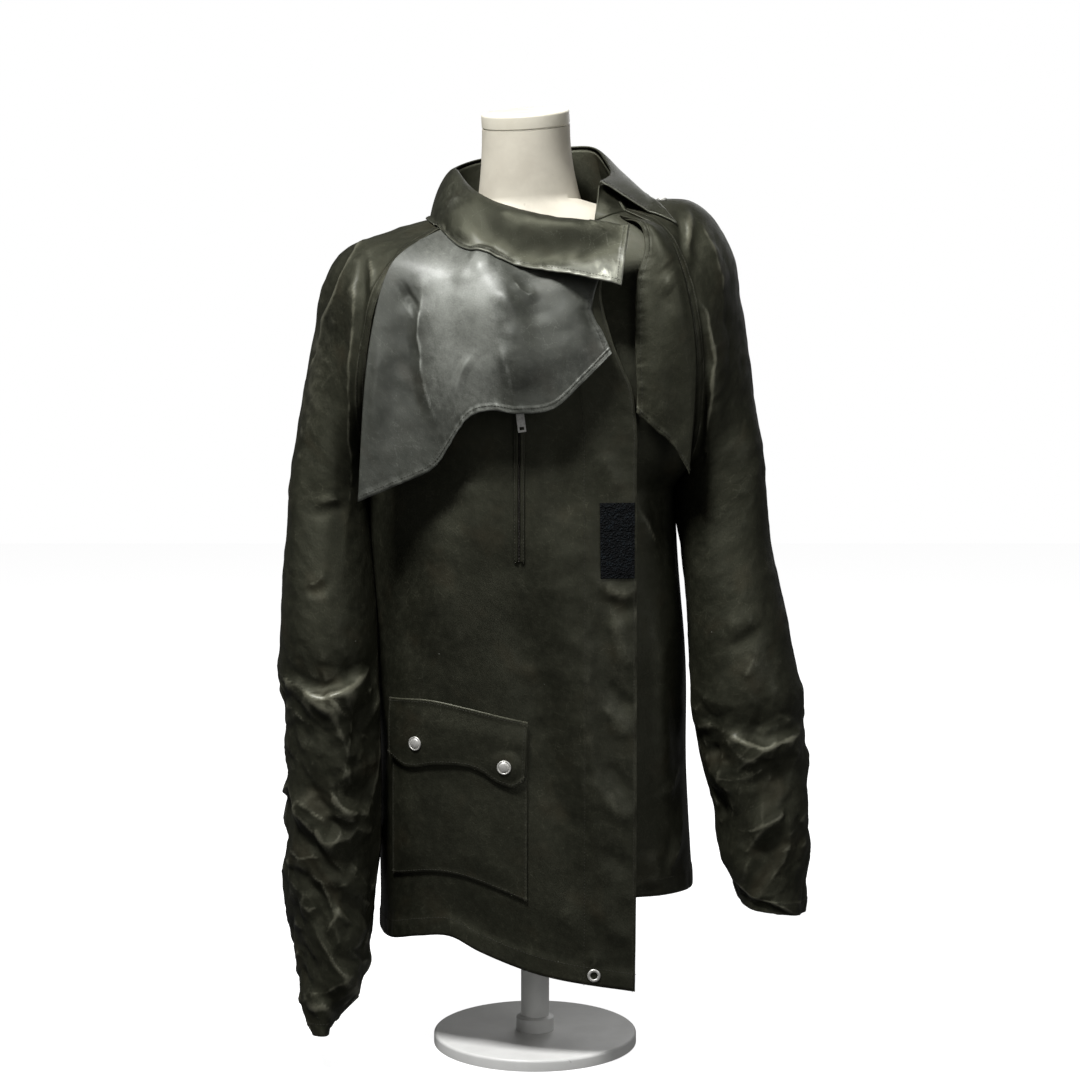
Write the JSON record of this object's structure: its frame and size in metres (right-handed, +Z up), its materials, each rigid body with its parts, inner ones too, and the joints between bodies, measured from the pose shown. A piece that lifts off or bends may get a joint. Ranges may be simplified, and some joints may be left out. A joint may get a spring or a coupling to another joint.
{
  "type": "trench coat on dress form",
  "caption": "Short asymmetric storm coat of waxed cotton with raglan sleeves, storm flaps, chest zip and flapped pocket, hanging unfastened on a limbless dress form with a pole stand.",
  "frame": {"origin": "the middle of the stand base's underside, on the surface that the stand rests on", "axes": "+Z up along the pole, -Y the way the front faces, +X towards the wearer's left, which is the right of the front view"},
  "size_m": [0.5475, 0.258, 0.9883],
  "materials": {
    "waxed_cotton": "waxed, soft sheen, creased",
    "form_linen": "linen over a hollow shell, painted cream, matte",
    "form_cap_board": "cream paint, matte, chipped",
    "painted_steel": "off-white powder coat, satin",
    "nickel": "nickel plate, satin",
    "dark_zip_metal": "blackened",
    "hook_and_loop": "looped pile, blue-black, matte"
  },
  "bodies": {
    "coat_on_form": {"form_body": "form_linen", "form_cap": "form_cap_board", "stand_pole": "painted_steel", "stand_base": "painted_steel", "front_right": "waxed_cotton", "front_left": "waxed_cotton", "back": "waxed_cotton", "sleeve_right_front": "waxed_cotton", "sleeve_right_back": "waxed_cotton", "sleeve_left_front": "waxed_cotton", "sleeve_left_back": "waxed_cotton", "storm_flap_right": "waxed_cotton", "storm_flap_left": "waxed_cotton", "collar_stand": "waxed_cotton", "collar_fall": "waxed_cotton", "pocket": "waxed_cotton", "pocket_flap": "waxed_cotton", "zip_welt_outer": "waxed_cotton", "zip_welt_inner": "waxed_cotton", "hook_tape": "hook_and_loop", "zip_chain": "dark_zip_metal", "zip_slider": "nickel", "snap_outer": "nickel", "snap_inner": "nickel", "eyelet": "nickel", "shoulder_stud": "nickel"},
    "zip_pull": {"zip_pull": "nickel"}
  },
  "joints": [
    {"name": "zip_pull_swing", "type": "hinge", "parent": "coat_on_form", "child": "zip_pull", "pos_m": [-0.0156, -0.12283, 0.6811], "axis": [-0.9925, 0, -0.1219], "range_deg": [0, 50]}
  ]
}
